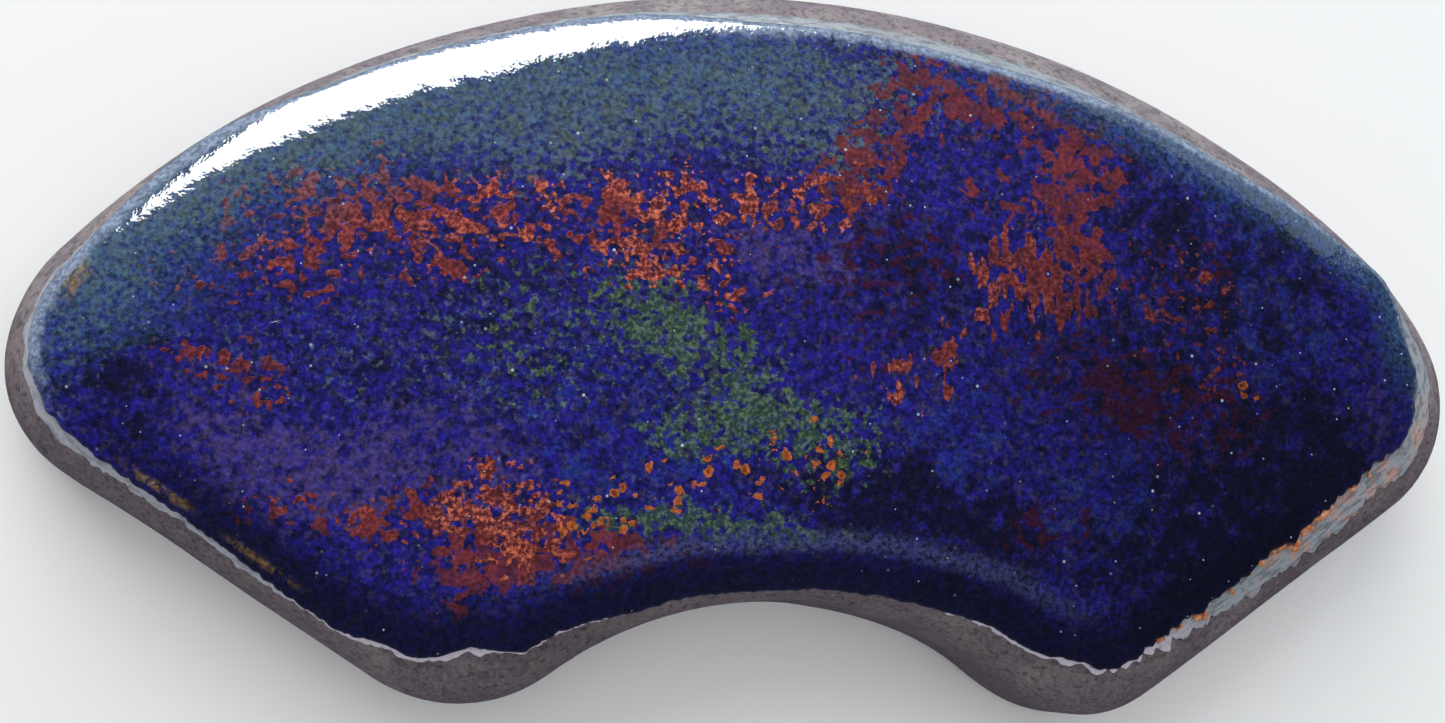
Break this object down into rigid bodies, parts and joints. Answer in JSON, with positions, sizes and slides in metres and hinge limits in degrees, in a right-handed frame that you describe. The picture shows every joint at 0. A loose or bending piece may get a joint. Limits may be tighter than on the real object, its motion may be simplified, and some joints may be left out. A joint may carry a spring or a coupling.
{
  "type": "guitar slide",
  "caption": "Hand-held glazed ceramic guitar slide: a fan-shaped crowned slab with a concave finger notch, a flat bare back and round shoulders.",
  "frame": {"origin": "on the flat back, at the middle of its bounding rectangle", "axes": "+X along the width, +Y from the finger notch towards the long outer arc, +Z out of the glazed playing face"},
  "size_m": [0.0644, 0.0318, 0.0109],
  "materials": {
    "clay": "bare fired clay, smoked grey-brown, fine dry grain",
    "pale_glaze": "thin pale grey-blue glaze, satin at its edge",
    "blue_glaze": "thick glossy ultramarine glaze with copper-red, green and orange blooms",
    "copper": "reduced copper grains, dull metallic orange"
  },
  "bodies": {
    "root": {"clay_body": "clay", "pale_glaze": "pale_glaze", "blue_glaze": "blue_glaze", "copper_beads": "copper"}
  },
  "joints": []
}
